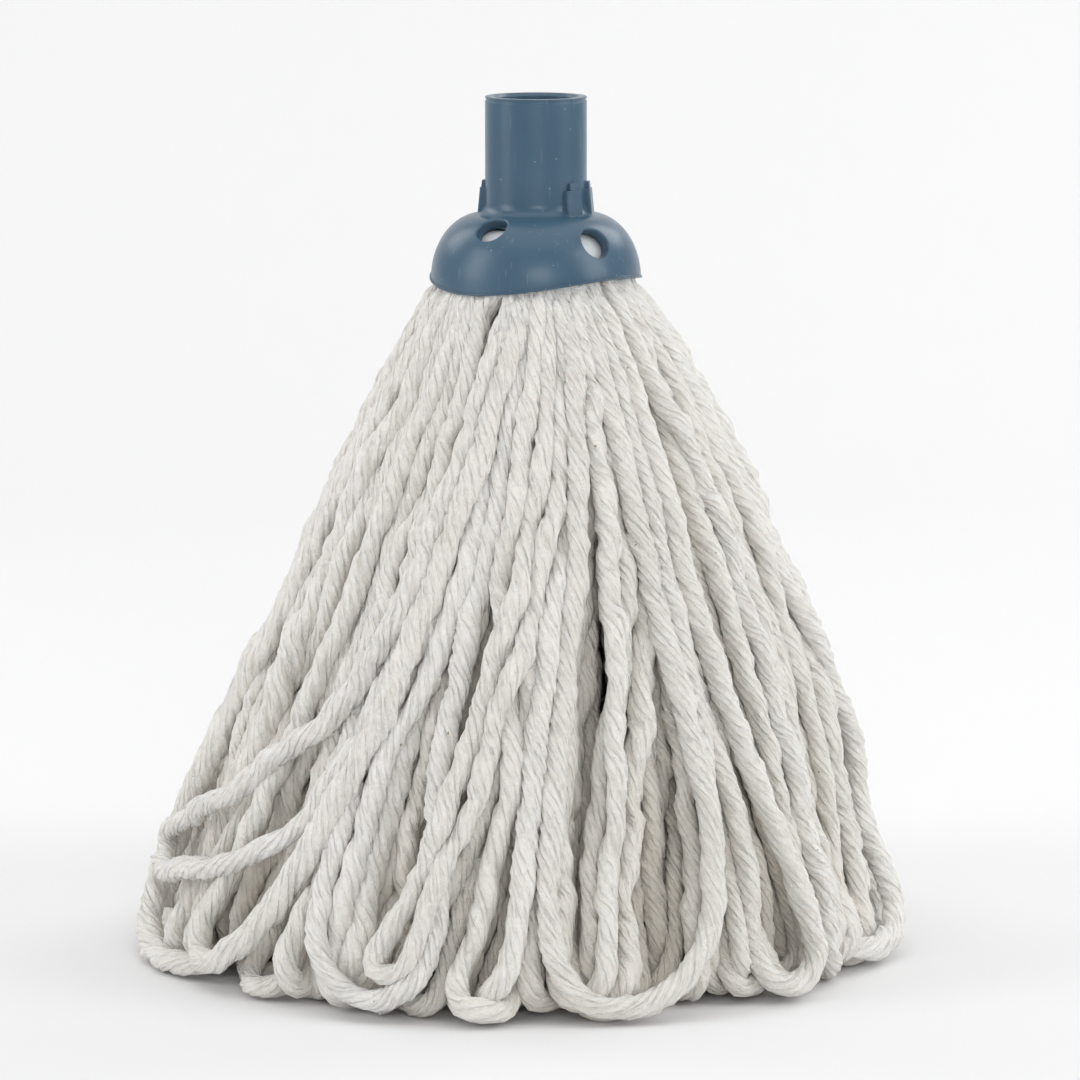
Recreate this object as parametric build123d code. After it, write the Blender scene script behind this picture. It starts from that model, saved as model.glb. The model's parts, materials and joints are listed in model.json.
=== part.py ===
from build123d import *

import os
from math import atan2, cos, degrees, radians, sin, sqrt

# String mop head standing on its yarn. Millimetres, +Z up, origin on the floor under the socket's axis.
# An azimuth of 0 is the front (-Y), and azimuths grow towards the right (+X).

# Handle tube
HANDLE_BORE_R = 12.5
TUBE_R = 15.65
TUBE_TOP_Z = 264.0
MOUTH_CHAMFER = 0.9
TUBE_EDGE_ROUND = 0.3
LIP_GROOVE_BELOW_TOP = 0.95
LIP_GROOVE_R = 0.65
LIP_GROOVE_DEPTH = 0.25
HANDLE_STOP_Z = 222.0
POCKET_R = 8.0
POCKET_FLOOR_Z = 218.5
TUBE_END_Z = 216.0

# Dome of the socket: a quarter ellipse in section, from the tube's foot out to the skirt
DOME_CENTRE_R = 17.0
DOME_CENTRE_Z = 208.0
DOME_A = 15.4
DOME_B = 20.0
DOME_WALL = 3.6
DOME_FOOT_FILLET = 4.0

# Rim: cut to a shallow trough, so that it rises and falls twice round, with a thin lip along its edge
RIM_LOW_Z = 205.4
RIM_TROUGH_R = 118.0
RIM_HIGH_AZ = 50.0
RIM_LIP_R = 32.8
RIM_LIP_HEIGHT = 0.6

# Round windows in the dome: azimuth and radius of the centre, and how far each dips below the surface's normal
WINDOW_R = 4.8
WINDOW_DIP = 12.0
WINDOW_ROUND = 0.5
WINDOWS = [(-33.4, 24.8), (39.6, 28.7), (146.6, 24.8), (-140.4, 28.7)]

# Ribs at the tube's foot, each with a narrower knob on its top
RIB_AZIMUTHS = [44.0, 82.0, -136.0, -98.0]
RIB_WIDTH = 6.0
RIB_TOP_Z = 236.0
RIB_TOP_DEPTH = 1.4
RIB_FOOT_DEPTH = 2.2
RIB_ROUND = 0.5
KNOB_WIDTH = 3.0
KNOB_TOP_Z = 238.1
KNOB_DEPTH = 0.9

# White retainer cap under the dome, and the plug that clamps the yarn into it
CAP_GAP = 0.6
CAP_WALL = 1.6
CAP_RIM_Z = 211.5
CAP_BORE_R = 15.95
CAP_LIP_Z = 217.6
TUBE_BEAD_R = 16.3
PLUG_DISC_R = 19.0
PLUG_DISC_Z = (204.4, 207.0)
PLUG_STEM_R = 3.8
PLUG_HEAD_R = 4.9
PLUG_HEAD_TOP_Z = 221.4
PLUG_DISC_ROUND = 1.0
PLUG_BARB_PLAY = 0.3
PLUG_SLIT = 1.2
PLUG_SLIT_DEPTH = 7.0
FLOOR_HOLE_R = 4.2

# Yarn packed in the dome, and the thread that ties it
HUB_BOTTOM_Z = 207.4
HUB_TOP_Z = 215.6
HUB_INNER_R = 4.3
HUB_GAP = 0.4
THREAD_R = 0.9
THREAD_RING_R = 22.3
THREAD_Z = 205.2

# Yarn skirt: hinge line of the outer bundles and the sections of both layers
HINGE_R = 28.0
HINGE_Z = 199.5
HINGE_END_R = 4.5
HINGE_BAR_HALF = 9.4
SKIRT_TOP_BELOW_HINGE = 2.0
OUTER_BODIES = 8
FIRST_BODY_AZ = -57.5
BUNDLES_PER_BODY = 2
INNER_BUNDLES = 6
CORE_TOP_R = 7.0
CORE_FOOT_R = 24.0
INNER_TOP_R = 20.3
INNER_TOP_Z = 203.6
NECK_FOOT_Z = 196.0
GAP = 0.5
OUTER_FOOT_Z = 0.8
# Radius of the skirt's outside and of the seam between its layers, by height
SKIRT_OUTSIDE = [
    (48.0, 180.0), (64.0, 149.0), (78.5, 115.0), (93.5, 84.0), (105.0, 58.0), (113.5, 33.0), (118.0, 12.0)
]
LAYER_SEAM = [
    (36.5, 180.0), (49.0, 149.0), (60.5, 115.0), (71.5, 84.0), (79.5, 58.0), (85.0, 33.0), (88.0, 10.0)
]
SKIRT_SHOULDER = (115.8, 4.0)
OUTER_FOOT_R = (94.0, 110.0)
OUTER_FOOT_INSIDE = (89.8, 3.6)


def revolve_outline(outline):
    """A solid of revolution about Z from a closed outline in the XZ plane."""
    return revolve(make_face(outline), Axis.Z, 360)


def disc(radius, low_z, high_z):
    return Pos(0, 0, low_z) * Cylinder(radius, high_z - low_z, align=(Align.CENTER, Align.CENTER, Align.MIN))


def ring(inner_r, outer_r, low_z, high_z):
    return disc(outer_r, low_z, high_z) - disc(inner_r, low_z, high_z)


def dome(offset):
    """The solid under the dome's surface, moved inwards by offset, from the axis down to below the rim."""
    a = DOME_A - offset
    b = DOME_B - offset
    side = DOME_CENTRE_R + a
    top = DOME_CENTRE_Z + b
    low = RIM_LOW_Z - 4
    arc = EllipticalCenterArc((DOME_CENTRE_R, DOME_CENTRE_Z), a, b, start_angle=0, arc_size=90)
    rest = Polyline((DOME_CENTRE_R, top), (0, top), (0, low), (side, low), (side, DOME_CENTRE_Z))
    return revolve_outline(Plane.XZ * (arc + rest))


def above_rim(raise_by):
    """Everything above the rim's edge, or above a line that follows the edge higher up."""
    trough = Rot(0, 90, 0) * Cylinder(RIM_TROUGH_R, 120)
    return Pos(0, 0, RIM_LOW_Z + raise_by + RIM_TROUGH_R) * Rot(0, 0, RIM_HIGH_AZ) * trough


def dome_point(radius):
    """Height of the dome's surface at a radius, and the slope of its normal in degrees above level."""
    c = (radius - DOME_CENTRE_R) / DOME_A
    s = sqrt(1 - c * c)
    return DOME_CENTRE_Z + DOME_B * s, degrees(atan2(s / DOME_B, c / DOME_A))


def window(azimuth, radius):
    """A cutter that reaches through the dome's wall."""
    z, slope = dome_point(radius)
    drill = Rot(0, 90 + WINDOW_DIP - slope, 0) * Cylinder(WINDOW_R, 12)
    return Rot(0, 0, azimuth - 90) * Pos(radius, 0, z) * drill


def window_edge(body, azimuth, radius):
    """The outer edge of a window."""
    z, _ = dome_point(radius)
    centre = (radius * sin(radians(azimuth)), -radius * cos(radians(azimuth)), z)
    return min(body.edges(), key=lambda e: (e.center(CenterOf.BOUNDING_BOX) - Vector(centre)).length)


def blade(outline, width):
    """A plate of a given width from an outline in the XZ plane, as (radius, height) points."""
    return extrude(make_face(Plane.XZ * Polyline(*outline, close=True)), width / 2, both=True)


def rib(azimuth):
    """A rib that tapers upwards, with a narrower knob on its top."""
    inside = TUBE_R - 1
    foot_z = DOME_CENTRE_Z + DOME_B - 2
    body = blade(
        [
            (inside, RIB_TOP_Z),
            (TUBE_R + RIB_TOP_DEPTH, RIB_TOP_Z),
            (TUBE_R + RIB_FOOT_DEPTH, foot_z + 1.5),
            (TUBE_R + RIB_FOOT_DEPTH, foot_z),
            (inside, foot_z),
        ],
        RIB_WIDTH,
    )
    front = body.faces().filter_by(Axis.Y).edges() - body.edges().filter_by(Axis.Z)
    body = fillet([e for e in front if e.center().X > TUBE_R and e.center().Z > foot_z + 1], RIB_ROUND)
    knob = blade(
        [
            (inside, KNOB_TOP_Z),
            (TUBE_R + KNOB_DEPTH, KNOB_TOP_Z),
            (TUBE_R + KNOB_DEPTH + 0.3, RIB_TOP_Z - 0.5),
            (inside, RIB_TOP_Z - 0.5),
        ],
        KNOB_WIDTH,
    )
    knob = fillet(knob.edges().filter_by(Axis.Y).sort_by(Axis.Z)[-1:], RIB_ROUND / 2)
    return Rot(0, 0, azimuth - 90) * (body + knob)


def make_socket():
    """Handle tube and dome in one moulding, with ribs, windows, a lipped rim and a blind bore."""
    tube = disc(TUBE_R, TUBE_END_Z, TUBE_TOP_Z)
    body = dome(0) - dome(DOME_WALL) + tube
    foot = body.edges().filter_by(GeomType.CIRCLE).filter_by_position(
        Axis.Z, DOME_CENTRE_Z + DOME_B - 0.1, DOME_CENTRE_Z + DOME_B + 0.1
    )
    body = fillet([e for e in foot if abs(e.radius - TUBE_R) < 0.1], DOME_FOOT_FILLET)
    for azimuth, radius in WINDOWS:
        body -= window(azimuth, radius)
    body = fillet([window_edge(body, *at) for at in WINDOWS], WINDOW_ROUND)
    edge = body.edges().filter_by(GeomType.CIRCLE).sort_by(Axis.Z)[-1]
    body = fillet(edge, TUBE_EDGE_ROUND)
    groove_ring_r = TUBE_R + LIP_GROOVE_R - LIP_GROOVE_DEPTH
    body -= Pos(0, 0, TUBE_TOP_Z - LIP_GROOVE_BELOW_TOP) * Torus(groove_ring_r, LIP_GROOVE_R)
    lip_ring = ring(DOME_CENTRE_R + DOME_A - 1, RIM_LIP_R, RIM_LOW_Z - 3, RIM_LOW_Z + 12)
    body = (body & above_rim(0)) + ((lip_ring & above_rim(0)) - above_rim(RIM_LIP_HEIGHT))
    for azimuth in RIB_AZIMUTHS:
        body += rib(azimuth)
    body += ring(TUBE_R - 1, TUBE_BEAD_R, TUBE_END_Z, TUBE_END_Z + 1.2)
    body -= disc(HANDLE_BORE_R, HANDLE_STOP_Z, TUBE_TOP_Z + 1)
    body -= disc(POCKET_R, POCKET_FLOOR_Z, HANDLE_STOP_Z + 1)
    body -= disc(FLOOR_HOLE_R, TUBE_END_Z - 1, POCKET_FLOOR_Z + 1)
    mouth = Cone(HANDLE_BORE_R, HANDLE_BORE_R + MOUTH_CHAMFER, MOUTH_CHAMFER)
    return body - Pos(0, 0, TUBE_TOP_Z - MOUTH_CHAMFER / 2) * mouth


def make_cap():
    """Retainer cap: nests under the dome, with a collar whose lip snaps above the bead on the tube's end."""
    shell = dome(DOME_WALL + CAP_GAP) - dome(DOME_WALL + CAP_GAP + CAP_WALL)
    shell &= disc(RIM_LIP_R, CAP_RIM_Z, TUBE_TOP_Z)
    top_z = DOME_CENTRE_Z + DOME_B - DOME_WALL - CAP_GAP
    collar = ring(CAP_BORE_R, CAP_BORE_R + CAP_WALL, CAP_LIP_Z, top_z)
    return shell - disc(CAP_BORE_R, CAP_RIM_Z, TUBE_TOP_Z) + collar


def make_plug():
    """Clamp plug: a disc under the yarn, with a barbed stem that snaps through the tube's floor."""
    low, high = PLUG_DISC_Z
    plate = disc(PLUG_DISC_R, low, high)
    plate = fillet(plate.edges().filter_by(GeomType.CIRCLE), PLUG_DISC_ROUND)
    barb_z = POCKET_FLOOR_Z + PLUG_BARB_PLAY
    stem = disc(PLUG_STEM_R, high - PLUG_DISC_ROUND, barb_z)
    barb = Cone(
        PLUG_HEAD_R, PLUG_STEM_R - 1, PLUG_HEAD_TOP_Z - barb_z, align=(Align.CENTER, Align.CENTER, Align.MIN)
    )
    slit = Pos(0, 0, PLUG_HEAD_TOP_Z) * Box(PLUG_SLIT, 4 * PLUG_HEAD_R, 2 * PLUG_SLIT_DEPTH)
    return plate + stem + Pos(0, 0, barb_z) * barb - slit


def make_hub():
    """The folded middle of the yarn, packed round the stem under the cap."""
    inside_cap = dome(DOME_WALL + CAP_GAP + CAP_WALL + HUB_GAP)
    return inside_cap & ring(HUB_INNER_R, RIM_LIP_R, HUB_BOTTOM_Z, HUB_TOP_Z)


def make_thread():
    """Tie thread round the neck of the hank."""
    return Pos(0, 0, THREAD_Z) * Torus(THREAD_RING_R, THREAD_R)


def sector(solid, azimuth, width, gap):
    """The part of a solid of revolution within width degrees about an azimuth, gap/2 short on each side."""
    reach = 400
    half = radians(width / 2)
    start = gap / 2 / sin(half)
    far_x = start + reach * cos(half)
    far_y = reach * sin(half)
    wedge = Polyline((start, 0), (far_x, far_y), (far_x, -far_y), close=True)
    block = extrude(make_face(wedge), 300)
    return solid & (Rot(0, 0, azimuth - 90) * block)


def outer_layer():
    """Outer layer of the skirt, all the way round, from just under the hinge line to a rounded foot."""
    outside_top = (HINGE_R + HINGE_END_R - 0.6, HINGE_Z + 2)
    inside_top = (HINGE_R - HINGE_END_R + 0.6, HINGE_Z - 1)
    outside = Spline(outside_top, *SKIRT_OUTSIDE)
    inside = Spline(inside_top, *LAYER_SEAM)
    foot_in, foot_out = [(r, OUTER_FOOT_Z) for r in OUTER_FOOT_R]
    outline = outside + Line(outside_top, inside_top) + inside
    outline += ThreePointArc(SKIRT_OUTSIDE[-1], SKIRT_SHOULDER, foot_out) + Line(foot_out, foot_in)
    outline += ThreePointArc(foot_in, OUTER_FOOT_INSIDE, LAYER_SEAM[-1])
    return revolve_outline(Plane.XZ * outline) & disc(2 * OUTER_FOOT_R[1], 0, HINGE_Z - SKIRT_TOP_BELOW_HINGE)


def hinge_bar(azimuth, side):
    """Half of the round bar of yarn on a body's hinge line, on its left (-1) or right (1)."""
    length = HINGE_BAR_HALF - GAP / 2
    bar = Rot(90, 0, 0) * Cylinder(HINGE_END_R, length)
    return Rot(0, 0, azimuth - 90) * Pos(HINGE_R, side * (GAP + length) / 2, HINGE_Z) * bar


def inner_layer():
    """Inner layer of the skirt, from the plug down to the floor, with a round core left out of it."""
    seam = [(r - GAP, z) for r, z in LAYER_SEAM]
    seam_foot_r = seam[-1][0]
    core_top = (CORE_TOP_R + GAP, INNER_TOP_Z)
    core_foot = (CORE_FOOT_R + GAP, 0)
    neck_top = (INNER_TOP_R, INNER_TOP_Z)
    neck_foot = (INNER_TOP_R, NECK_FOOT_Z)
    foot = (seam_foot_r - 5, 0)
    outline = Polyline(core_top, neck_top, neck_foot) + Spline(neck_foot, *seam)
    outline += ThreePointArc(seam[-1], (seam_foot_r - 1.3, 3.2), foot) + Polyline(foot, core_foot, core_top)
    return revolve_outline(Plane.XZ * outline)


def make_core():
    """The yarn at the middle of the skirt."""
    return Cone(CORE_FOOT_R, CORE_TOP_R, INNER_TOP_Z, align=(Align.CENTER, Align.CENTER, Align.MIN))


def make_parts():
    parts = {
        "socket": make_socket(),
        "retainer_cap": make_cap(),
        "clamp_plug": make_plug(),
        "yarn_hub": make_hub(),
        "tie_thread": make_thread(),
        "yarn_core": make_core(),
    }
    layer = inner_layer()
    width = 360 / INNER_BUNDLES
    for i in range(INNER_BUNDLES):
        parts[f"inner_bundle_{i + 1}"] = sector(layer, i * width, width, GAP)
    layer = outer_layer()
    width = 360 / OUTER_BODIES / BUNDLES_PER_BODY
    for body in range(OUTER_BODIES):
        azimuth = FIRST_BODY_AZ + body * 360 / OUTER_BODIES
        for letter, side in (("a", -1), ("b", 1)):
            bundle = sector(layer, azimuth + side * width / 2, width, GAP)
            parts[f"outer_bundle_{body + 1}{letter}"] = bundle + hinge_bar(azimuth, side)
    return parts


os.makedirs("parts", exist_ok=True)
for name, shape in make_parts().items():
    solids = shape.solids()
    export_step(solids[0] if len(solids) == 1 else Compound(solids), f"parts/{name}.step")
    print(name, len(solids), round(sum(s.volume for s in solids)))
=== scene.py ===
import json
import math

import bpy
import numpy as np
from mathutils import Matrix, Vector

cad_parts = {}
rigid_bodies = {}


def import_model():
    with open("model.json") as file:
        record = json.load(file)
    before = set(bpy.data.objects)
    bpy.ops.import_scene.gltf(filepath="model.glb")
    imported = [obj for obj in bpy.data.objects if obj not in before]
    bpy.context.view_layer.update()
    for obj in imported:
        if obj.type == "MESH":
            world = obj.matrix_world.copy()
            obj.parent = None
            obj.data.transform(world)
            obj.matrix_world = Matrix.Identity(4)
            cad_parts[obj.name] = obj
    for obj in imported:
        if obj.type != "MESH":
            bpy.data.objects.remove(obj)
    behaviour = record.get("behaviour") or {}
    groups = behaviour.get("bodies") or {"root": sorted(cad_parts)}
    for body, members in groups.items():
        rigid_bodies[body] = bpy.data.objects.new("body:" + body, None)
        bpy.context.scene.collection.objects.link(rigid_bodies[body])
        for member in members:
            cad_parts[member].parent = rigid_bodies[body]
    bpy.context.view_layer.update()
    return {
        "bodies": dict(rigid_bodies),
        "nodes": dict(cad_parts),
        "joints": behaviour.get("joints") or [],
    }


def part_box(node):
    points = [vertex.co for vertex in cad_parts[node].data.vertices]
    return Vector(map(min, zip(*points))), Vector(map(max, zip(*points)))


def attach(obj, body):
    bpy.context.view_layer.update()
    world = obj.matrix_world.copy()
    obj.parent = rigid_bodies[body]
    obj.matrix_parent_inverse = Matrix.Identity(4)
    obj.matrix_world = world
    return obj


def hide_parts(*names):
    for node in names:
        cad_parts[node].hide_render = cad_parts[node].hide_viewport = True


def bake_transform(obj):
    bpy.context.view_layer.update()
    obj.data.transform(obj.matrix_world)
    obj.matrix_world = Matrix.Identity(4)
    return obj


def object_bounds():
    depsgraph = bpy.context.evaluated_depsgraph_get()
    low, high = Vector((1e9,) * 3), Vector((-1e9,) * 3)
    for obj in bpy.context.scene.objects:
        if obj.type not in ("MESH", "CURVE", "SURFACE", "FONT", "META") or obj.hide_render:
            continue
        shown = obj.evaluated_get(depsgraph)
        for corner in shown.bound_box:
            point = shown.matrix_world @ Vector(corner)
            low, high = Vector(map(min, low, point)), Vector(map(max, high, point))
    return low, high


# A string mop head: looped cotton yarn under a blue socket. Metres, +Z up, -Y is the front.
# An azimuth of 0 is the front, and azimuths grow towards the right (+X).

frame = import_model()

RNG = np.random.default_rng(7)
MM = 0.001

# ---------------------------------------------------------------- the frame's own sizes
SOCKET_LOW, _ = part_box("socket")
RIM_Z = SOCKET_LOW[2]
FOOT_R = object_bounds()[1][0]
BODIES = sorted(b for b in frame["bodies"] if b.startswith("bundle_"))
JOINTS = {j["child"]: j for j in frame["joints"]}


def azimuth_of(x, y):
    return np.degrees(np.arctan2(x, -np.asarray(y)))


BODY_AZ = {b: float(azimuth_of(JOINTS[b]["pos_m"][0], JOINTS[b]["pos_m"][1])) for b in BODIES}

# ---------------------------------------------------------------- yarn and its lay
YARN_D = 7.7 * MM
PRESSED = 0.88  # strands in the skirt are pressed to this share of their thickness
PLIES = 8
LOOPS_PER_BODY = 14
INNER_LOOPS = 36
CORE_LOOPS = 3
STEP = 6.2 * MM  # between the points of a loop while it settles
TURN_OVERSHOOT = 7 * MM
SPANS = [(2, 10.0 * MM), (4, 11.5 * MM)]  # points this many steps apart stay at least this far apart
FALL = 0.25 * MM  # per round, near the floor
SETTLE_ROUNDS = 150
PAIRS_EVERY = 8  # rounds between two searches for strands that are close
NO_LIMIT = 10.0
TOP_Z = RIM_Z + 7.5 * MM  # where the strands start, inside the socket

# How thick a strand is at the rim, by its share: 0 is the outermost strand and 1 the innermost
RIM_SHARE = [0, 0.15, 0.3, 1]
RIM_D = np.array([6.0, 5.2, 3.6, 3.0]) * MM

# The skirt's outside: its radius by the height above the floor, and how far it leans to the left
SKIRT_Z = np.array([0, 8, 33, 58, 84, 115, 149, 180, 199, 205, 209, 214]) * MM
SKIRT_R = np.array([117.5, 119, 114, 105, 93, 79, 65, 49, 37.5, 32.8, 30.5, 28]) * MM
LEAN_Z = np.array([0, 35, 63, 88, 115, 150, 180, 205]) * MM
LEAN = np.array([4.5, 2.6, 0.6, 0, -2.3, -1, -0.9, 0]) * MM

# How far, in degrees, a strand is carried round the skirt on its way down, by its azimuth halfway down
DRIFT_AZ = [-180, -140, -91, -55, -39, -22, -11, 4, 15, 29, 48, 90, 140, 180]
DRIFT = [9, 6, -2, -11, -19, -24, -23, -22, -18, -11, -4, 1, 5, 9]
FLOW = [
    (k, RNG.uniform(0, 6.28), RNG.uniform(-26, 26), 4.2 * RNG.normal() / k ** 0.5)
    for k in range(3, 12)
]

# The small gap under the rim: its azimuth, how far it pushes the strands aside, and its width and height
PARTING_AZ = -26
PARTING_PUSH = 6.5
PARTING_WIDE = 13
PARTING_HIGH = 9 * MM

# Loops laid one by one. Each line runs from the rim to the floor and back. A point is the azimuth in degrees,
# then the height and how far it stands out from the skirt, in millimetres.
LAID = {
    "swept_left": [
        (-13, 205, 0), (-19, 170, 0), (-26, 132, 1), (-33, 100, 2), (-43, 78, 3), (-52, 66, 4), (-63, 55, 4),
        (-75, 46, 4), (-86, 39, 4), (-92, 32, 2), (-88, 26, 4), (-76, 29, 5), (-63, 34, 5), (-52, 39, 4),
        (-45, 46, 3), (-40, 54, 2), (-35, 66, 1), (-29, 88, 0), (-24, 122, -1), (-18, 160, 0), (-9, 205, 0),
    ],
    "left_foot": [
        (-60, 205, 0), (-68, 165, 0), (-76, 120, 0), (-84, 72, 1), (-91, 40, 1), (-90, 18, 2), (-79, 5, 3),
        (-67, 4, 6), (-59, 4, 3), (-53, 8, -8), (-50, 24, -14), (-48, 60, -14), (-44, 110, -12),
        (-42, 160, -8), (-42, 205, -3),
    ],
    "left_hook": [
        (-38, 205, 0), (-42, 165, 0), (-46, 120, 0), (-52, 72, 0), (-55, 40, 1), (-58, 20, 2), (-62, 9, 3),
        (-59, 4, 4), (-53, 6, 4), (-47, 17, 2), (-42, 33, 1), (-37, 48, 1), (-34, 68, 1), (-28, 100, 1),
        (-22, 140, 0), (-14, 180, 0), (-6, 205, 0),
    ],
    "front_tip": [
        (8, 205, 0), (4, 165, 0), (-4, 120, 1), (-10, 88, 1), (-15, 58, 1), (-20, 32, 1), (-24, 14, 2),
        (-25, 5, 4), (-22, 6, 3), (-18, 22, 2), (-15, 42, 1), (-10, 70, 1), (-3, 104, 1), (6, 150, 0),
        (14, 205, 0),
    ],
    "right_bow": [
        (70, 205, 0), (74, 160, 0), (78, 122, 0), (82, 93, 1), (87, 66, 3), (90, 46, 5), (89, 28, 5),
        (82, 14, 3), (73, 5, 0), (63, 5, -4), (57, 10, -10), (56, 40, -12), (58, 90, -10), (60, 140, -6),
        (58, 205, -3),
    ],
    "floor_sweep": [
        (25, 205, 0), (27, 160, -1), (29, 120, -1), (31, 80, 0), (31, 50, 0), (29, 28, 1), (25, 12, 3),
        (19, 5, 4), (13, 4, 5), (7, 4, 5), (3, 8, 3), (1, 20, 1), (1, 38, 0), (3, 70, -1),
        (7, 110, -2), (11, 150, -1), (16, 205, 0),
    ],
    "front_left_sweep": [
        (-18, 205, 0), (-24, 150, -1), (-30, 105, -1), (-34, 70, 0), (-35, 40, 1), (-34, 18, 2), (-30, 7, 3),
        (-25, 4, 4), (-20, 4, 4), (-16, 8, 2), (-14, 22, 0), (-16, 46, 0), (-18, 80, -1), (-13, 130, -1),
        (-4, 205, 0),
    ],
    "right_foot": [
        (36, 205, 0), (36, 160, 0), (38, 110, 0), (42, 65, 1), (45, 38, 1), (48, 24, 2), (50, 13, 3),
        (48, 5, 5), (41, 4, 6), (35, 4, 0), (33, 8, -7), (37, 22, -4), (39, 44, -6), (36, 84, -6),
        (32, 130, -4), (28, 205, -2),
    ],
}


def polar(r, az, z):
    a = np.radians(az)
    return np.stack([r * np.sin(a), -r * np.cos(a), z + 0 * a], axis=-1)


def wrap(az):
    return (az + 180) % 360 - 180


def skirt_radius(z, az):
    """The outside of the skirt. Low down it leans left, has a dent on its right and reaches out in front."""
    lean = np.interp(z, LEAN_Z, LEAN)
    dent = 13 * MM * np.exp(-(((az - 88) / 15) ** 2) - ((z - 40 * MM) / (24 * MM)) ** 2)
    toe = 8 * MM * np.exp(-(((az + 4) / 34) ** 2) - (z / (24 * MM)) ** 2)
    return np.interp(z, SKIRT_Z, SKIRT_R) - lean * np.sin(np.radians(az)) - dent + toe


def flow(az, z):
    """Sideways shift, in degrees, that neighbouring strands share."""
    total = 0
    for k, phase, climb, size in FLOW:
        total = total + size * np.sin(np.radians(k * az) + phase + climb * z)
    return total * np.clip((RIM_Z - z) / (70 * MM), 0, 1)


def parting(az, z):
    """Sideways shift, in degrees, that opens a small gap under the rim, left of the middle."""
    away = wrap(az - PARTING_AZ)
    fade = np.exp(-((away / PARTING_WIDE) ** 2) - ((z - RIM_Z + 2 * MM) / PARTING_HIGH) ** 2)
    return PARTING_PUSH * np.sign(away) * fade


def yarn_diameter(z, share):
    """The yarn is squeezed where it leaves the socket and opens out below it."""
    rim = np.interp(share, RIM_SHARE, RIM_D)
    t = np.clip((RIM_Z - z) / (60 * MM), 0, 1)
    return rim + (YARN_D - rim) * t ** 0.6


def leg_radius(z, az, share, count):
    """Distance of a leg's middle from the axis. Legs fill the skirt from the outside in, by share."""
    d = yarn_diameter(z, share) * PRESSED
    outer = skirt_radius(z, az) - d / 2
    mean_d = PRESSED * yarn_diameter(z, 0.35)
    packed = share * count * 0.9 * mean_d ** 2 / math.pi
    return np.sqrt(np.maximum(outer ** 2 - packed, (2.5 * MM) ** 2))


def wander(n, size, waves):
    """A smooth random offset along n points."""
    t = np.linspace(0, 1, n)
    total = np.zeros(n)
    for k in range(1, waves + 1):
        total += RNG.normal() * np.sin(math.pi * k * t + RNG.uniform(0, 6.28)) / k
    return size * total


def resample(points, step=None, count=None):
    """The same line with evenly spaced points. Columns after the third are carried along."""
    seg = np.linalg.norm(np.diff(points[:, :3], axis=0), axis=1)
    s = np.concatenate([[0], np.cumsum(seg)])
    n = count if count else max(8, int(round(s[-1] / step)) + 1)
    at = np.linspace(0, s[-1], n)
    return np.stack([np.interp(at, s, points[:, k]) for k in range(points.shape[1])], axis=1)


def make_leg(rim_az, foot_az, share, count, foot_z, pull_in):
    """Points of one leg, from inside the socket down to foot_z."""
    z = np.linspace(TOP_Z, foot_z, 40)
    t = (TOP_Z - z) / (TOP_Z - foot_z)
    ease = 0.4 * t + 0.6 * t * t * (3 - 2 * t)
    az = rim_az + (foot_az - rim_az) * ease
    sway = wander(len(z), 2.6, 4) * np.clip(t * 2.5, 0, 1) * np.clip((1 - t) * 4, 0.3, 1)
    az = az + flow(az, z) + sway
    r = leg_radius(z, az, share, count) - pull_in * np.clip((t - 0.5) / 0.5, 0, 1) ** 1.4
    return polar(r, az, z)


class Loop:
    """One loop of yarn: its line, where it belongs and its place in the skirt."""

    def __init__(self, points, kind, shares, stand_out, grip):
        rows = np.concatenate([points, shares[:, None], stand_out[:, None]], axis=1)
        rows = resample(rows, STEP)
        ends = np.minimum(np.arange(len(rows)), np.arange(len(rows))[::-1])
        ease = 0.5 * np.clip((ends[1:-1, None] - 3) / 4, 0, 1)
        for _ in range(9):
            rows[1:-1, :3] += ease * ((rows[:-2, :3] + rows[2:, :3]) / 2 - rows[1:-1, :3])
            rows[:, 2] = np.maximum(rows[:, 2], YARN_D / 2)
        rows = resample(rows, STEP)
        self.points = rows[:, :3]
        self.shares = rows[:, 3]
        self.stand_out = rows[:, 4]
        self.kind = kind
        self.grip = grip
        low = self.points[self.points[:, 2] < 0.11]
        self.az = float(azimuth_of(low[:, 0].mean(), low[:, 1].mean()))
        self.share = float(self.shares.min())


def make_loop(kind, rims, foot_az, width, plane, shares, count, pull_in, swing):
    """A whole loop: one leg down, a turn on the floor, and the other leg up again."""
    rho = FOOT_R - pull_in
    half = np.degrees(width / 2 * math.cos(plane) / rho)
    depth = width / 2 * math.sin(plane)
    foot_z = YARN_D / 2 + width / 2 * (0.3 + 0.7 / (1 + swing * swing))
    a = make_leg(rims[0], foot_az - half, shares[0], count, foot_z, pull_in + depth)
    b = make_leg(rims[1], foot_az + half, shares[1], count, foot_z, pull_in - depth)
    centre = (a[-1] + b[-1]) / 2
    side = (b[-1] - a[-1]) / 2
    reach = width / 2 + TURN_OVERSHOOT
    out = centre * np.array([1, 1, 0])
    out = out / np.linalg.norm(out)
    down = np.array([0, 0, -1.0]) + out * swing
    down = down / np.linalg.norm(down)
    turn = np.linspace(0, math.pi, 9)[1:-1]
    bottom = [centre - side * math.cos(q) + down * reach * math.sin(q) for q in turn]
    points = np.concatenate([a, bottom, b[::-1]])
    share = np.interp(np.linspace(0, 1, len(points)), [0, 0.45, 0.55, 1], [shares[0], *shares, shares[1]])
    return Loop(points, kind, share, np.full(len(points), RNG.uniform(-1.5, 1.5) * MM), 0.02)


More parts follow.
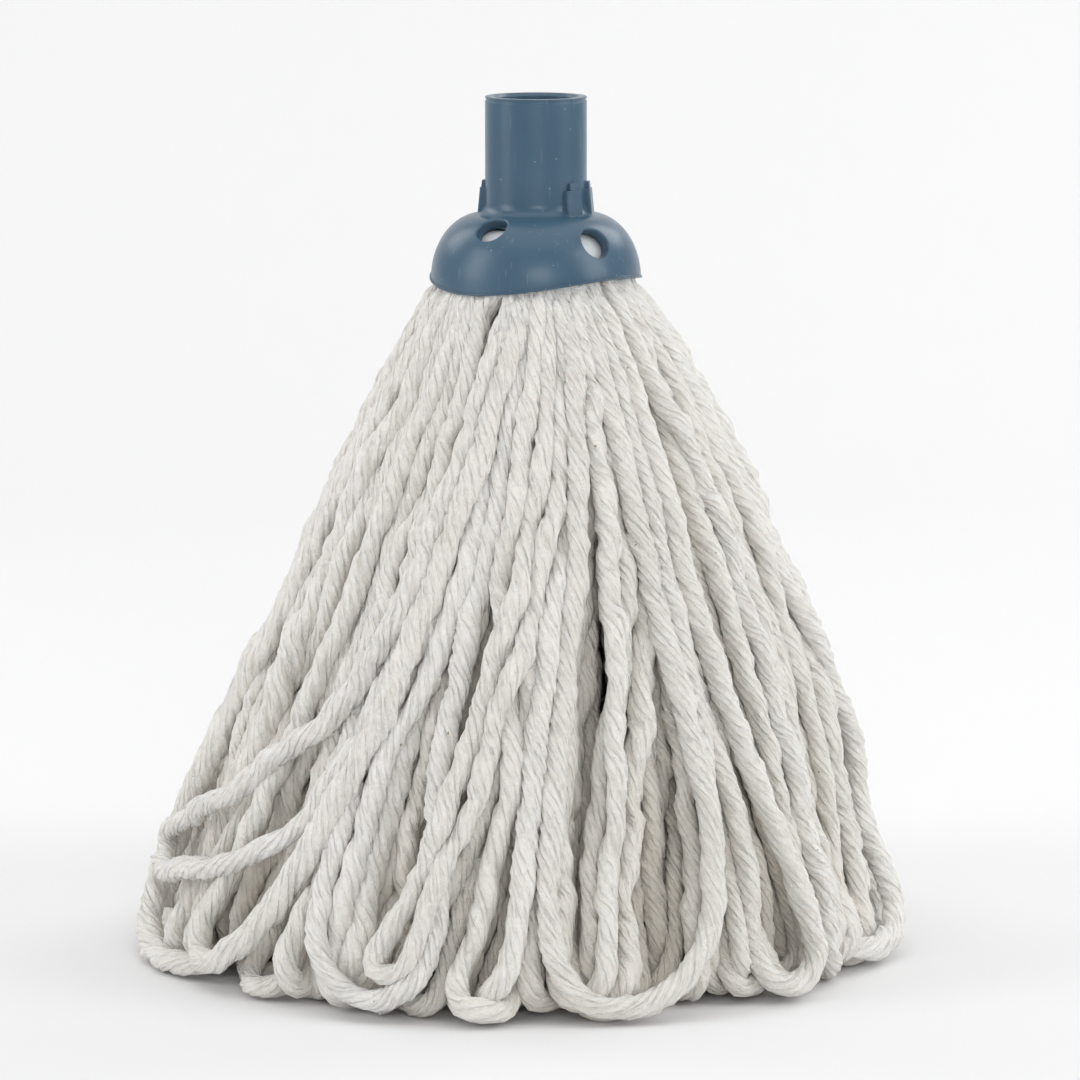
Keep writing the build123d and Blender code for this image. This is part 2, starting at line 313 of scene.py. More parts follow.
def lay_loop(line):
    """A loop along a listed line on the outside of the skirt."""
    az, z, out = np.array(line, float).T
    rows = np.stack([az, z * MM, out * MM], axis=1)
    t = np.arange(len(rows))
    fine = np.linspace(0, len(rows) - 1, 12 * len(rows))
    az, z, out = [np.interp(fine, t, rows[:, k]) for k in range(3)]
    side_az = np.full(len(az), -40.0 if az.mean() < 0 else 40.0)
    r = skirt_radius(z, side_az) - YARN_D / 2 * PRESSED + out
    points = polar(r, az, np.maximum(z, YARN_D / 2))
    first, last = [polar(r[k] - 2 * MM, az[k], TOP_Z)[None, :] for k in (0, -1)]
    points = np.concatenate([first, points, last])
    out = np.concatenate([out[:1], out, out[-1:]])
    return Loop(points, "outer", np.full(len(points), 0.02), np.maximum(out, 0) + 2 * MM, 0.16)


def plan_loops():
    """All loops before they settle: the listed, the outer and the inner ones, and a few in the middle."""
    loops = [lay_loop(line) for line in LAID.values()]
    n_outer = LOOPS_PER_BODY * len(BODIES)
    count = 2 * (n_outer + len(loops) + INNER_LOOPS + CORE_LOOPS)
    for i in range(n_outer):
        start = -180 + (i + RNG.uniform(-0.35, 0.35)) * 360 / n_outer
        shares = [0.01 + 0.76 * ((0.618 * (2 * i + k) + RNG.uniform(0, 0.06)) % 1) for k in range(2)]
        width = RNG.choice([10, 12, 14, 18, 26]) * MM + RNG.uniform(0, 4) * MM
        drift = float(np.interp(wrap(start), DRIFT_AZ, DRIFT)) / 2
        rims = start - drift - RNG.uniform(1, 9), start - drift + RNG.uniform(1, 9)
        foot = start + drift + RNG.normal() * 3.5
        pull_in = RNG.choice([0, 0, 2, 5, 11, 18]) * MM + RNG.uniform(0, 2) * MM
        plane = np.radians(RNG.choice([0, 20, 45, 75]) * RNG.choice([-1, 1]))
        swing = RNG.choice([-0.2, 0, 0.3, 0.8, 1.5])
        loops.append(make_loop("outer", rims, foot, width, plane, shares, count, pull_in, swing))
    for i in range(INNER_LOOPS):
        start = -180 + (i + RNG.uniform(-0.3, 0.3)) * 360 / INNER_LOOPS
        width = RNG.uniform(16, 26) * MM
        rims = start - RNG.uniform(5, 12), start + RNG.uniform(5, 12)
        foot = start + RNG.normal() * 5
        shares = [RNG.uniform(0.55, 0.8), RNG.uniform(0.6, 0.86)]
        pull_in = RNG.choice([7, 12, 24]) * MM
        swing = RNG.uniform(-0.3, 0.5)
        loops.append(make_loop("inner", rims, foot, width, 0, shares, count, pull_in, swing))
    for i in range(CORE_LOOPS):
        start = i * 360 / CORE_LOOPS
        rims = start - 25, start + 25
        loops.append(make_loop("core", rims, start, 22 * MM, 0, [0.92, 0.97], count, 75 * MM, 0.2))
    return loops


def settle(loops):
    """Lets the strands push apart, hang and rest on the floor, at their own lengths, near their lines."""
    sizes = [len(l.points) for l in loops]
    starts = np.concatenate([[0], np.cumsum(sizes)])
    p = np.concatenate([l.points for l in loops])
    home = p.copy()
    owner = np.repeat(np.arange(len(loops)), sizes)
    index = np.concatenate([np.arange(n) for n in sizes])
    last = np.repeat(sizes, sizes) - 1
    share = np.concatenate([l.shares for l in loops])
    stand_out = np.concatenate([l.stand_out for l in loops])
    grip = np.repeat([l.grip for l in loops], sizes)
    held = (index < 2) | (index > last - 2)
    link = np.nonzero(owner[:-1] == owner[1:])[0]
    rest = np.linalg.norm(p[link + 1] - p[link], axis=1) * 1.02
    every = np.arange(len(p))
    middle = link[(index[link] > 0) & (index[link] < last[link])]
    free = ~held[middle]
    pairs = None
    for step in range(SETTLE_ROUNDS):
        radius = yarn_diameter(p[:, 2], share) * 0.5 * PRESSED
        if step % PAIRS_EVERY == 0:
            pairs = close_pairs(p, owner, index, 2.4 * radius.max())
        # apart
        i, j = pairs
        gap = p[j] - p[i]
        dist = np.linalg.norm(gap, axis=1) + 1e-9
        over = np.maximum(radius[i] + radius[j] - dist, 0)
        push = gap / dist[:, None] * (over * 0.5)[:, None]
        touching = np.concatenate([i[over > 0], j[over > 0]])
        hits = np.bincount(touching, minlength=len(p))
        move = spread(j, push, len(p)) - spread(i, push, len(p))
        p = p + np.where(held[:, None], 0, move / np.sqrt(np.maximum(hits, 1))[:, None])
        # smooth
        bend = (p[middle - 1] + p[middle + 1]) / 2 - p[middle]
        p[middle[free]] += 0.32 * bend[free]
        # back towards where it was laid, and down
        p[~held] += (grip[:, None] * (home - p))[~held]
        p[:, 2] -= np.where(held | (p[:, 2] > 60 * MM), 0, FALL)
        # no tight kinks, and its own length
        for reach, least in SPANS:
            a = every[index + reach <= last]
            p = p + np.where(held[:, None], 0, hold(p, a, a + reach, least, NO_LIMIT))
        for _ in range(3):
            p = p + np.where(held[:, None], 0, 0.8 * hold(p, link, link + 1, 0.95 * rest, rest))
        p = contain(p, radius, stand_out, held)
    az = azimuth_of(p[:, 0], p[:, 1])
    p = polar(np.hypot(p[:, 0], p[:, 1]), az + parting(az, p[:, 2]), p[:, 2])
    for n, l in enumerate(loops):
        l.points = p[starts[n]:starts[n + 1]]


def hold(p, a, b, least, most):
    """Moves that keep the distance of points a and b between two limits."""
    line = p[b] - p[a]
    length = np.linalg.norm(line, axis=1) + 1e-9
    fix = line * ((length - np.clip(length, least, most)) / length * 0.5)[:, None]
    return spread(a, fix, len(p)) - spread(b, fix, len(p))


def spread(index, vectors, n):
    """Sums of the vectors that share an index."""
    return np.stack([np.bincount(index, vectors[:, k], n) for k in range(3)], axis=1)


def contain(p, radius, stand_out, held):
    """Keeps the strands inside the skirt's outline and above the floor."""
    r = np.hypot(p[:, 0], p[:, 1])
    az = azimuth_of(p[:, 0], p[:, 1])
    neck = p[:, 2] > RIM_Z - 10 * MM
    limit = skirt_radius(p[:, 2], az) - np.where(neck, radius / PRESSED, radius - stand_out)
    over = (r > limit) & ~held
    scale = np.where(over, (r + np.where(neck, 1, 0.5) * (limit - r)) / np.maximum(r, 1e-6), 1)
    p = p * np.stack([scale, scale, np.ones_like(scale)], axis=1)
    p[:, 2] = np.maximum(p[:, 2], radius / PRESSED + 0.5 * MM)
    return p


def close_pairs(p, owner, index, reach):
    """Pairs of points nearer than reach that aren't neighbours on one strand."""
    found_i, found_j = [], []
    q = p.astype(np.float32)
    square = (q ** 2).sum(1)
    for a in range(0, len(q), 512):
        b = min(a + 512, len(q))
        d2 = square[a:b, None] + square[None, a:] - 2 * q[a:b] @ q[a:].T
        i, j = np.nonzero(d2 < reach ** 2)
        i, j = i + a, j + a
        keep = (j > i) & ((owner[i] != owner[j]) | (np.abs(index[i] - index[j]) > 4))
        found_i.append(i[keep])
        found_j.append(j[keep])
    return np.concatenate(found_i), np.concatenate(found_j)


# ---------------------------------------------------------------- yarn mesh
DEEP = 22 * MM  # under the skirt's outside by this much, the "depth" attribute is 1; the yarn's colour uses it for painted shade

# Radius that no yarn passes, from just under the rim up into the socket. There is no limit below it.
NECK_Z = np.array([RIM_Z - 4 * MM, RIM_Z - MM, RIM_Z + 7 * MM])
NECK_R = np.array([1000, 32, 28.5]) * MM


class Cloth:
    """Vertices, faces, lay coordinates, tones and depths of a mesh of yarn while it is put together."""

    def __init__(self):
        self.verts, self.faces, self.uvs, self.tones, self.depths = [], [], [], [], []
        self.size = 0

    def tube(self, rings, s, around, u_shift, tone):
        """Adds a closed tube from rings of points."""
        n = len(rings)
        base = self.size
        self.verts.append(rings.reshape(-1, 3))
        self.size += n * around
        i = np.arange(n - 1)[:, None] * around
        j = np.arange(around)[None, :]
        k = (j + 1) % around
        quads = np.stack([i + j, i + k, i + around + k, i + around + j], axis=-1).reshape(-1, 4) + base
        shape = (n - 1, around)
        u0, u1 = np.broadcast_to(s[:-1, None], shape), np.broadcast_to(s[1:, None], shape)
        v0, v1 = np.broadcast_to(j / around, shape), np.broadcast_to((j + 1) / around, shape)
        corners = [np.stack(c, -1) for c in ((u0, v0), (u0, v1), (u1, v1), (u1, v0))]
        self.faces += quads.tolist()
        self.uvs.append(np.stack(corners, 2).reshape(-1, 2) + [u_shift, 0])
        self.tones.append(np.full(n * around, tone))
        # How deep each vertex lies under the skirt's outside; the cotton material paints shade from it
        x, y, z = rings.reshape(-1, 3).T
        below = skirt_radius(z, azimuth_of(x, y)) - np.hypot(x, y)
        self.depths.append(np.clip(below / DEEP, 0, 1))
        ring = np.arange(around) + base
        self.faces += [ring[::-1].tolist(), (ring + (n - 1) * around).tolist()]
        self.uvs.append(np.zeros((2 * around, 2)))

    def object(self, name, material):
        mesh = bpy.data.meshes.new(name)
        mesh.from_pydata(np.concatenate(self.verts).tolist(), [], self.faces)
        layer = mesh.uv_layers.new(name="lay")
        layer.data.foreach_set("uv", np.concatenate(self.uvs).astype(np.float32).ravel())
        for attribute, values in (("tone", self.tones), ("depth", self.depths)):
            layer = mesh.attributes.new(attribute, "FLOAT", "POINT")
            layer.data.foreach_set("value", np.concatenate(values).astype(np.float32))
        mesh.shade_smooth()
        mesh.materials.append(material)
        obj = bpy.data.objects.new(name, mesh)
        bpy.context.collection.objects.link(obj)
        return obj


def smooth_line(points, step):
    """A cubic B-spline through the run of points, sampled evenly."""
    p = np.concatenate([[2 * points[0] - points[1]], points, [2 * points[-1] - points[-2]]])
    fine = []
    for t in np.linspace(0, 1, 4, endpoint=False):
        second = 3 * t ** 3 - 6 * t ** 2 + 4
        third = -3 * t ** 3 + 3 * t ** 2 + 3 * t + 1
        w = np.array([(1 - t) ** 3, second, third, t ** 3]) / 6
        fine.append(sum(w[k] * p[k:len(p) - 3 + k] for k in range(4)))
    line = np.stack(fine, axis=1).reshape(-1, points.shape[1])
    end = (points[-2] + 4 * points[-1] + (2 * points[-1] - points[-2])) / 6
    return resample(np.concatenate([line, [end]]), step)


def frames_along(line):
    """Tangents and a normal carried along the line without turning about it."""
    tangent = np.gradient(line, axis=0)
    tangent /= np.linalg.norm(tangent, axis=1)[:, None]
    normal = np.zeros_like(line)
    n = np.cross(tangent[0], [0.3, 1, 0.2])
    for i, t in enumerate(tangent):
        n = n - t * (n @ t)
        n /= np.linalg.norm(n)
        normal[i] = n
    return tangent, normal, np.cross(tangent, normal)


def wave(s, length, rng):
    """A sine along the yarn that starts anywhere."""
    return np.sin(s / length + rng.uniform(0, 6))


def add_yarn(cloth, loop, rng, around, step, hairs):
    """Adds one loop of plied yarn and its stray fibres."""
    rows = smooth_line(np.concatenate([loop.points, loop.shares[:, None]], axis=1), step)
    line, shares = rows[:, :3], rows[:, 3]
    s = np.arange(len(line)) * step
    inside = np.clip(np.minimum(s, s[-1] - s) / (45 * MM), 0, 1) * rng.uniform(0.2, 0.8) * MM
    for k in range(3):
        line[:, k] += inside * (wave(s, rng.uniform(5, 9) * MM, rng) + 0.4 * wave(s, 2.3 * MM, rng))
    line[:, 2] = np.maximum(line[:, 2], YARN_D / 2)
    tangent, normal, other = frames_along(line)
    curl = np.gradient(tangent, step, axis=0)
    tight = rng.uniform(0, 0.7) if loop.az < 15 else rng.uniform(0.4, 1)
    swell = 1 + 0.06 * wave(s, 31 * MM, rng) + 0.05 * wave(s, 6 * MM, rng)
    slack = 1.02 - 0.16 * tight
    radius = yarn_diameter(line[:, 2], shares) / 2 * swell * slack * rng.uniform(0.95, 1.05)
    pitch = (42 - 14 * tight) * MM
    loosen = 0.6 * wave(s, 60 * MM, rng) + 0.3 * wave(s, 21 * MM, rng)
    twist = rng.uniform(0, 6.28) - 2 * math.pi * s / pitch + loosen
    corner = np.arange(around)
    angle = corner[None, :] * 2 * math.pi / around + twist[:, None]
    in_groove = 0.5 - 0.5 * np.cos(corner * 2 * math.pi * PLIES / around)
    ply = corner * PLIES // around
    way = s[:, None] / (10 * MM) + rng.uniform(0, 6, PLIES)[None, :]
    depth = np.clip(0.12 + 0.07 * np.sin(way) + 0.05 * np.sin(0.37 * way + 2), 0.02, 0.24)
    depth = depth * (0.7 + 0.8 * tight)
    knots = rng.normal(0, 1, (len(s), PLIES))
    knots = (np.roll(knots, 1, 0) + 2 * knots + np.roll(knots, -1, 0)) / 2.45
    plump = 1 + (0.10 - 0.05 * tight) * knots
    flat = 1 + (0.12 - 0.08 * tight) * np.cos(2 * angle + rng.uniform(0, 6))
    rough = rng.normal(0, 1, (len(s), around))
    rough = 1 + 0.022 * (rough + np.roll(rough, 1, 0) + 0.5 * np.roll(rough, 1, 1))
    r = radius[:, None] * (1 - depth[:, ply] * in_groove[None, :]) * flat * plump[:, ply] * rough
    spoke = np.cos(angle)[..., None] * normal[:, None, :] + np.sin(angle)[..., None] * other[:, None, :]
    inward = np.einsum("nak,nk->na", spoke, curl)
    r = np.minimum(np.minimum(r, 0.7 * YARN_D), 0.8 / np.maximum(inward, 1.0))
    rings = line[:, None, :] + r[..., None] * spoke
    rings[..., 2] = np.maximum(rings[..., 2], 0.2 * MM)
    most = np.interp(rings[..., 2], NECK_Z, NECK_R)
    rings[..., :2] *= np.minimum(1, most / np.hypot(rings[..., 0], rings[..., 1]))[..., None]
    cloth.tube(rings, s, around, rng.uniform(0, 10), rng.uniform(0, 1))
    for _ in range(hairs):
        add_hair(cloth, rings, spoke, tangent, rng)
    return line


def add_hair(cloth, rings, spoke, tangent, rng):
    """A fine stray fibre that leaves the yarn and curls along it."""
    i = rng.integers(6, len(rings) - 6)
    j = rng.integers(0, rings.shape[1])
    t = np.linspace(0, 1, 5)
    along = tangent[i] * rng.choice([-1, 1])
    side = np.cross(spoke[i, j], along)
    length = rng.uniform(3, 8) * MM
    lift = rng.uniform(0.4, 1.3) * MM
    curl = rng.uniform(-1.5, 1.5) * MM
    path = (rings[i, j] + along * length * t[:, None] * rng.uniform(0.3, 1)
            + spoke[i, j] * (lift * np.sin(t * rng.uniform(1.6, 3.0)))[:, None]
            + side * (curl * t ** 2)[:, None])
    path[:, 2] = np.maximum(path[:, 2], 0.2 * MM)
    ends = np.linspace(0, 2 * math.pi, 3, endpoint=False)
    thick = 0.045 * MM * (1 - 0.5 * t)
    rings = path[:, None, :] + thick[:, None, None] * (np.cos(ends)[None, :, None] * spoke[i, j]
                                                       + np.sin(ends)[None, :, None] * side)
    cloth.tube(rings, t * length, 3, rng.uniform(0, 10), 0.9)


def yarn_piece(name, loops, material, seed, around=16, step=2.6 * MM, hairs=34):
    """A mesh of one or more loops, and the middle line of each."""
    rng = np.random.default_rng(seed)
    cloth = Cloth()
    lines = [add_yarn(cloth, l, rng, around, step, hairs) for l in loops]
    return cloth.object(name, material), lines


# ---------------------------------------------------------------- materials
def new_material(name):
    m = bpy.data.materials.new(name)
    m.use_nodes = True
    tree = m.node_tree
    return m, tree, tree.nodes["Principled BSDF"]


def node(tree, kind, **settings):
    n = tree.nodes.new(kind)
    for key, value in settings.items():
        if key in n.inputs:
            n.inputs[key].default_value = value
        else:
            setattr(n, key, value)
    return n


def math_node(tree, operation, a, b=None):
    n = tree.nodes.new("ShaderNodeMath")
    n.operation = operation
    for k, value in enumerate([a, b]):
        if value is None:
            continue
        if isinstance(value, (int, float)):
            n.inputs[k].default_value = value
        else:
            tree.links.new(value, n.inputs[k])
    return n.outputs[0]


def ramp(tree, source, stops):
    n = tree.nodes.new("ShaderNodeValToRGB")
    while len(n.color_ramp.elements) < len(stops):
        n.color_ramp.elements.new(0.5)
    for e, (at, colour) in zip(n.color_ramp.elements, stops):
        e.position = at
        e.color = (*colour, 1)
    tree.links.new(source, n.inputs[0])
    return n.outputs[0]


def mix_colour(tree, factor, a, b, blend="MIX"):
    n = tree.nodes.new("ShaderNodeMix")
    n.data_type = "RGBA"
    n.blend_type = blend
    for socket, value in ((n.inputs[0], factor), (n.inputs[6], a), (n.inputs[7], b)):
        if isinstance(value, (int, float)):
            socket.default_value = value
        elif isinstance(value, tuple):
            socket.default_value = (*value, 1)
        else:
            tree.links.new(value, socket)
    return n.outputs[2]


def times(tree, a, b):
    return math_node(tree, "MULTIPLY", a, b)


def noise(tree, where, scale, detail, roughness=0.5):
    """The value of a noise texture."""
    n = node(tree, "ShaderNodeTexNoise", Scale=scale, Detail=detail, Roughness=roughness)
    tree.links.new(where, n.inputs["Vector"])
    return n.outputs["Fac"]


def vector(tree, *parts):
    n = node(tree, "ShaderNodeCombineXYZ")
    for k, part in enumerate(parts):
        tree.links.new(part, n.inputs[k])
    return n.outputs[0]


def grey_ramp(tree, source, low, high):
    """Greys between two stops, each a position and a value."""
    return ramp(tree, source, [(at, (value, value, value)) for at, value in (low, high)])


def relief(tree, bsdf, height, strength, distance, under=None):
    """Bump on the shader's normal."""
    bump = node(tree, "ShaderNodeBump", Strength=strength, Distance=distance)
    tree.links.new(height, bump.inputs["Height"])
    if under:
        tree.links.new(under, bump.inputs["Normal"])
    tree.links.new(bump.outputs[0], bsdf.inputs["Normal"])


def cotton_material():
    m, tree, bsdf = new_material("cotton_yarn")
    lay = node(tree, "ShaderNodeSeparateXYZ")
    tree.links.new(node(tree, "ShaderNodeUVMap", uv_map="lay").outputs[0], lay.inputs[0])
    along = lay.outputs[0]
    around = lay.outputs[1]
    turn = times(tree, around, 2 * math.pi)
    cosine = math_node(tree, "COSINE", turn)
    sine = math_node(tree, "SINE", turn)
    place = node(tree, "ShaderNodeTexCoord").outputs["Object"]
    tone = node(tree, "ShaderNodeAttribute", attribute_name="tone").outputs["Fac"]
    depth = node(tree, "ShaderNodeAttribute", attribute_name="depth").outputs["Fac"]
    fuzz = noise(tree, place, 1400.0, 2.0, 0.7)
    lumps = noise(tree, place, 260.0, 3.0, 0.6)
    tint = noise(tree, place, 26.0, 2.0)
    # fibres, drawn out along the yarn
    fibre_at = vector(tree, times(tree, cosine, 5.5), times(tree, sine, 5.5), times(tree, along, 260.0))
    fibre = noise(tree, fibre_at, 1.0, 3.0, 0.6)
    # grooves between the plies, which wander and fade in and out along the yarn; they shape the bump and
    # paint shade into the colour
    stray_at = vector(tree, times(tree, along, 150.0), times(tree, cosine, 1.6), times(tree, sine, 1.6))
    stray = noise(tree, stray_at, 1.0, 2.0, 0.6)
    shift = times(tree, math_node(tree, "SUBTRACT", stray, 0.5), 1.5)
    lane = math_node(tree, "FRACT", math_node(tree, "ADD", times(tree, around, PLIES), shift))
    off = math_node(tree, "ABSOLUTE", math_node(tree, "SUBTRACT", lane, 0.5))
    fade = grey_ramp(tree, lumps, (0.34, 0.35), (0.56, 1))
    groove_bump_and_shade = times(tree, grey_ramp(tree, off, (0.0, 1), (0.34, 0)), fade)
    # colour: the strand's own tone, then streaks, painted shade in the grooves, painted shade on strands deep
    # in the skirt and rare flecks
    shade = math_node(tree, "ADD", times(tree, tone, 0.35), times(tree, tint, 0.65))
    whites = [(0.25, (0.85, 0.828, 0.785)), (0.5, (0.89, 0.873, 0.835)), (0.75, (0.91, 0.9, 0.872))]
    base = ramp(tree, shade, whites)
    streak = ramp(tree, fibre, [(0.3, (0.93, 0.92, 0.90)), (0.6, (1, 1, 1))])
    colour = mix_colour(tree, 0.8, base, streak, "MULTIPLY")
    # painted shade: the grooves between the plies are darkened and warmed in the colour
    colour = mix_colour(tree, times(tree, groove_bump_and_shade, 0.28), colour, (0.66, 0.615, 0.54))
    # painted shade: strands deep under the skirt's outside are darkened and warmed in the colour
    painted_deep_shade = grey_ramp(tree, depth, (0.12, 0), (0.8, 1))
    colour = mix_colour(tree, times(tree, painted_deep_shade, 0.7), colour, (0.76, 0.70, 0.61))
    rare = grey_ramp(tree, noise(tree, place, 560.0, 0.0), (0.885, 0), (0.9, 1))
    colour = mix_colour(tree, rare, colour, (0.42, 0.34, 0.22))
    tree.links.new(colour, bsdf.inputs["Base Color"])
    height = math_node(tree, "SUBTRACT", times(tree, fibre, 0.7), groove_bump_and_shade)
    soft = math_node(tree, "ADD", times(tree, fuzz, 0.75), times(tree, lumps, 2.6))
    relief(tree, bsdf, math_node(tree, "ADD", height, soft), 0.9, 0.75 * MM)
    tree.links.new(grey_ramp(tree, fuzz, (0.3, 0.85), (0.7, 1)), bsdf.inputs["Roughness"])
    bsdf.inputs["Specular IOR Level"].default_value = 0.15
    bsdf.inputs["Sheen Weight"].default_value = 0.35
    bsdf.inputs["Sheen Roughness"].default_value = 0.5
    bsdf.inputs["Subsurface Weight"].default_value = 0.25
    bsdf.inputs["Subsurface Radius"].default_value = (1.0, 0.85, 0.7)
    bsdf.inputs["Subsurface Scale"].default_value = 1.6 * MM
    return m


def blue_plastic():
    m, tree, bsdf = new_material("blue_plastic")
    place = node(tree, "ShaderNodeTexCoord").outputs["Object"]
    cloud = noise(tree, place, 45.0, 3.0, 0.55)
    grain = noise(tree, place, 900.0, 2.0)
    stretch = node(tree, "ShaderNodeMapping")
    stretch.inputs["Scale"].default_value = (900, 900, 60)
    stretch.inputs["Rotation"].default_value = (0.5, 0.2, 0.3)
    tree.links.new(place, stretch.inputs["Vector"])
    scratch = noise(tree, stretch.outputs[0], 1.0, 1.0)
    lint = node(tree, "ShaderNodeTexVoronoi", Scale=260.0)
    tree.links.new(place, lint.inputs["Vector"])
    base = ramp(tree, cloud, [(0.3, (0.042, 0.096, 0.150)), (0.7, (0.052, 0.112, 0.172))])
    lines = grey_ramp(tree, scratch, (0.66, 0), (0.74, 1))
    colour = mix_colour(tree, times(tree, lines, 0.10), base, (0.40, 0.46, 0.52))
    dots = grey_ramp(tree, lint.outputs["Distance"], (0.045, 1), (0.07, 0))
    colour = mix_colour(tree, times(tree, dots, 0.35), colour, (0.55, 0.58, 0.60))
    tree.links.new(colour, bsdf.inputs["Base Color"])
    tree.links.new(grey_ramp(tree, cloud, (0.3, 0.27), (0.7, 0.34)), bsdf.inputs["Roughness"])
    height = math_node(tree, "ADD", times(tree, grain, 0.4), times(tree, scratch, 0.6))
    soft_edge = node(tree, "ShaderNodeBevel", Radius=0.6 * MM)
    relief(tree, bsdf, height, 0.2, 0.08 * MM, soft_edge.outputs[0])
    bsdf.inputs["Specular IOR Level"].default_value = 0.5
    return m


def white_plastic():
    m, tree, bsdf = new_material("white_plastic")
    place = node(tree, "ShaderNodeTexCoord").outputs["Object"]
    cloud = noise(tree, place, 60.0, 3.0)
    base = ramp(tree, cloud, [(0.3, (0.66, 0.69, 0.71)), (0.7, (0.76, 0.78, 0.79))])
    tree.links.new(base, bsdf.inputs["Base Color"])
    tree.links.new(grey_ramp(tree, cloud, (0.3, 0.3), (0.7, 0.42)), bsdf.inputs["Roughness"])
    relief(tree, bsdf, cloud, 0.15, 0.1 * MM)
    bsdf.inputs["Subsurface Weight"].default_value = 0.15
    bsdf.inputs["Subsurface Scale"].default_value = 1.5 * MM
    return m


def give(node_name, material):
    """Puts a material on a CAD node's slots."""
    o = frame["nodes"][node_name]
    if not o.material_slots:
        o.data.materials.append(material)
    for s in o.material_slots:
        s.material = material


# ---------------------------------------------------------------- stage, lights, camera
# The wall stands behind the mop. A camera that is further back than the wall sees only the wall's back.
WALL_Y = 1.6
WALL_HIGH = 2.2
SWEEP_R = 0.7
FLOOR_FRONT_Y = -3.0
FLOOR_HALF = 3.0


def make_stage():
    """A pale floor that sweeps up into a backdrop."""
    m, _, bsdf = new_material("studio_paper")
    bsdf.inputs["Base Color"].default_value = (0.83, 0.83, 0.835, 1)
    bsdf.inputs["Roughness"].default_value = 0.9
    bsdf.inputs["Specular IOR Level"].default_value = 0.1
    turn = np.linspace(0, math.pi / 2, 13)
    curve = [(WALL_Y - SWEEP_R + SWEEP_R * math.sin(q), SWEEP_R - SWEEP_R * math.cos(q)) for q in turn]
    profile = [(FLOOR_FRONT_Y, 0.0), *curve, (WALL_Y, WALL_HIGH)]
    verts = [(x, y, z) for y, z in profile for x in (-FLOOR_HALF, FLOOR_HALF)]
    faces = [(2 * i, 2 * i + 1, 2 * i + 3, 2 * i + 2) for i in range(len(profile) - 1)]
    mesh = bpy.data.meshes.new("studio_floor")
    mesh.from_pydata(verts, [], faces)
    mesh.shade_smooth()
    mesh.materials.append(m)
    obj = bpy.data.objects.new("studio_floor", mesh)
    bpy.context.collection.objects.link(obj)


MIDDLE = (0, 0, 0.13)

# Each light's name, place, target, size and power
LIGHTS = [
    ("top_softbox", (0.0, -0.15, 1.5), MIDDLE, (1.6, 1.4), 5.8),
    ("left_softbox", (-1.5, -0.5, 0.75), MIDDLE, (0.7, 1.2), 8.4),
    ("right_softbox", (1.4, -0.5, 0.85), MIDDLE, (0.8, 1.2), 9.2),
    ("front_fill", (0.2, -2.4, 0.8), MIDDLE, (1.0, 0.7), 9.6),
    ("back_right", (1.1, 1.0, 1.2), MIDDLE, (0.8, 0.8), 6.0),
    ("back_left", (-1.2, 0.9, 1.1), MIDDLE, (0.7, 0.8), 4.0),
    ("backdrop_wash", (0, 0.9, 1.5), (0, 1.6, 0.3), (2.0, 0.5), 2.5),
]
WORLD_LIGHT = 0.45


def area_light(name, place, target, size, power):
    data = bpy.data.lights.new(name, "AREA")
    data.shape = "RECTANGLE"
    data.size, data.size_y = size
    data.energy = power
    obj = bpy.data.objects.new(name, data)
    obj.location = place
    obj.rotation_euler = (Vector(target) - Vector(place)).to_track_quat("-Z", "Y").to_euler()
    bpy.context.collection.objects.link(obj)


def make_lights():
    for light in LIGHTS:
        area_light(*light)
    world = bpy.data.worlds.new("studio")
    bpy.context.scene.world = world
    world.use_nodes = True
    background = world.node_tree.nodes["Background"]
    background.inputs[0].default_value = (1, 1, 1, 1)
    background.inputs[1].default_value = WORLD_LIGHT


# The camera's pitch in degrees, its place, and its lens in millimetres, fitted to the photograph
CAMERA_PITCH = 9.0
CAMERA_BACK = 1.66
CAMERA_HIGH = 0.389
CAMERA_ASIDE = 1.25 * MM
CAMERA_LENS = 180.3


def make_camera():
    data = bpy.data.cameras.new("camera")
    data.lens = CAMERA_LENS
    data.sensor_width = 36
    data.clip_start = 0.05
    obj = bpy.data.objects.new("camera", data)
    obj.location = (CAMERA_ASIDE, -CAMERA_BACK, CAMERA_HIGH)
    obj.rotation_euler = (math.radians(90 - CAMERA_PITCH), 0, 0)
    bpy.context.collection.objects.link(obj)
    bpy.context.scene.camera = obj


# ---------------------------------------------------------------- put together
def nearest_body(az):
    return min(BODIES, key=lambda b: abs(wrap(az - BODY_AZ[b])))


def hang_on(obj):
    """Bakes the piece's transform into its mesh."""
    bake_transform(obj)


DECLARED_PER_BODY = 5

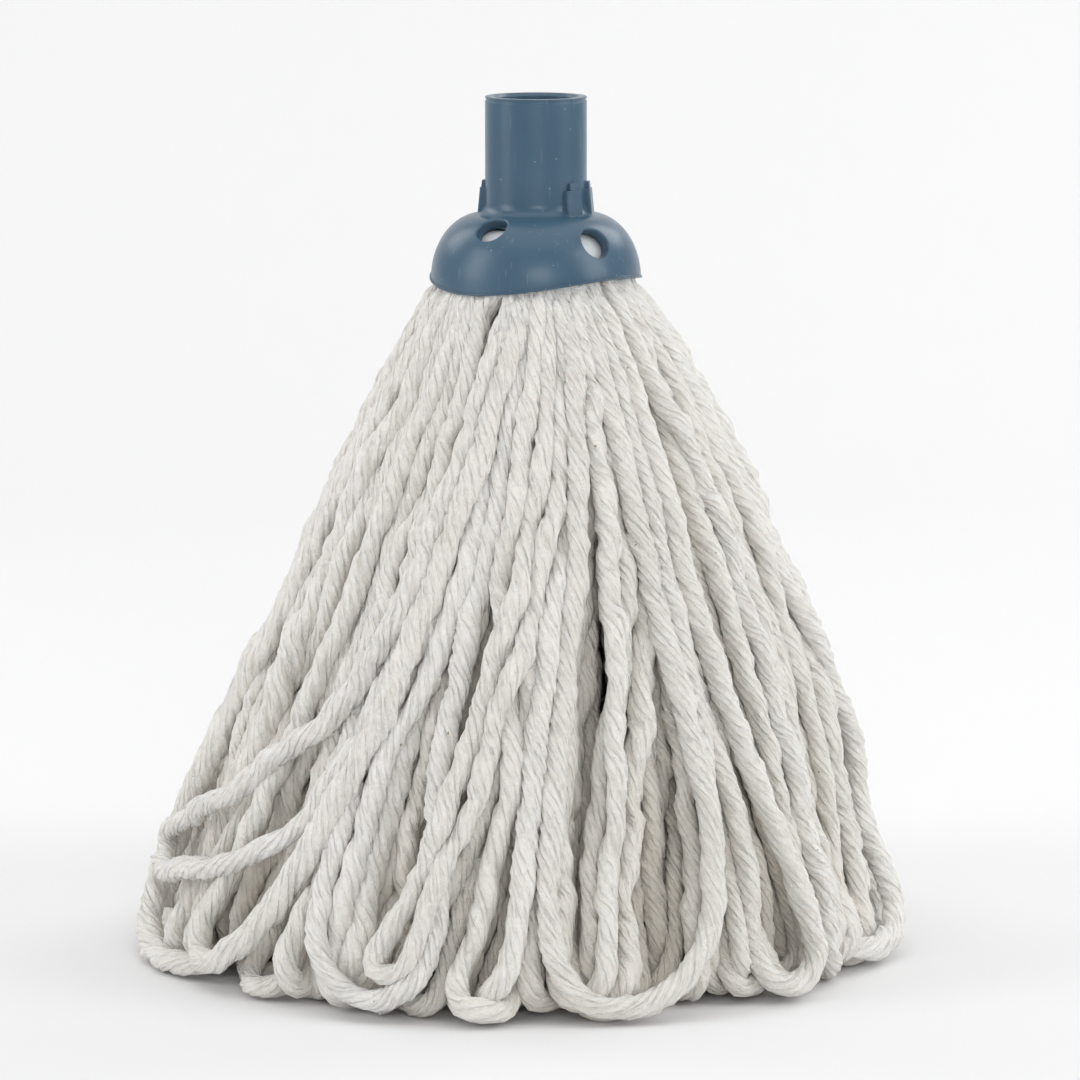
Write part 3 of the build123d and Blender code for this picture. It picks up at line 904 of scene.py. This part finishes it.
# The first random seed of each group of yarn pieces
LOOP_SEED = 100
REST_SEED = 200
INNER_SEED = 300
CORE_SEED = 400


def make_outer_yarn(loops, cotton):
    """The outer loops. On each body the furthest out are pieces of their own; the rest are one piece."""
    by_body = {b: [] for b in BODIES}
    for l in loops:
        by_body[nearest_body(l.az)].append(l)
    number = 0
    for body in BODIES:
        nodes = sorted(n for n in frame["nodes"] if n.startswith("outer_" + body))
        members = sorted(by_body[body], key=lambda l: l.share)
        for k, l in enumerate(members[:DECLARED_PER_BODY]):
            number += 1
            piece, lines = yarn_piece(f"yarn_loop_{number:02d}", [l], cotton, LOOP_SEED + number)
            hang_on(piece)
            if k < len(nodes):
                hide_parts(nodes[k])
        piece, _ = yarn_piece("more_yarn_" + body, members[DECLARED_PER_BODY:], cotton, REST_SEED + number)
        hang_on(piece)


def make_inner_yarn(inner, cotton):
    """The loops that carry the standing head."""
    nodes = sorted(n for n in frame["nodes"] if n.startswith("inner_bundle"))
    for k, n in enumerate(nodes):
        low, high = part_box(n)
        az = float(azimuth_of((low[0] + high[0]) / 2, (low[1] + high[1]) / 2))
        mine = sorted(inner, key=lambda l: abs(wrap(l.az - az)))[:INNER_LOOPS // len(nodes)]
        inner = [l for l in inner if l not in mine]
        ride_head(f"inner_yarn_{k + 1}", mine, cotton, INNER_SEED + k, n)


def ride_head(name, loops, cotton, seed, replaced):
    piece, _ = yarn_piece(name, loops, cotton, seed, around=12, step=3 * MM, hairs=0)
    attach(piece, "head")
    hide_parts(replaced)


def make_yarn():
    cotton = cotton_material()
    loops = plan_loops()
    settle(loops)
    make_outer_yarn([l for l in loops if l.kind == "outer"], cotton)
    make_inner_yarn([l for l in loops if l.kind == "inner"], cotton)
    ride_head("core_yarn", [l for l in loops if l.kind == "core"], cotton, CORE_SEED, "yarn_core")
    for n in ("yarn_hub", "tie_thread"):
        give(n, cotton)


make_camera()
make_stage()
make_lights()
make_yarn()
give("socket", blue_plastic())
white = white_plastic()
give("retainer_cap", white)
give("clamp_plug", white)
bpy.context.scene.view_settings.view_transform = "Standard"
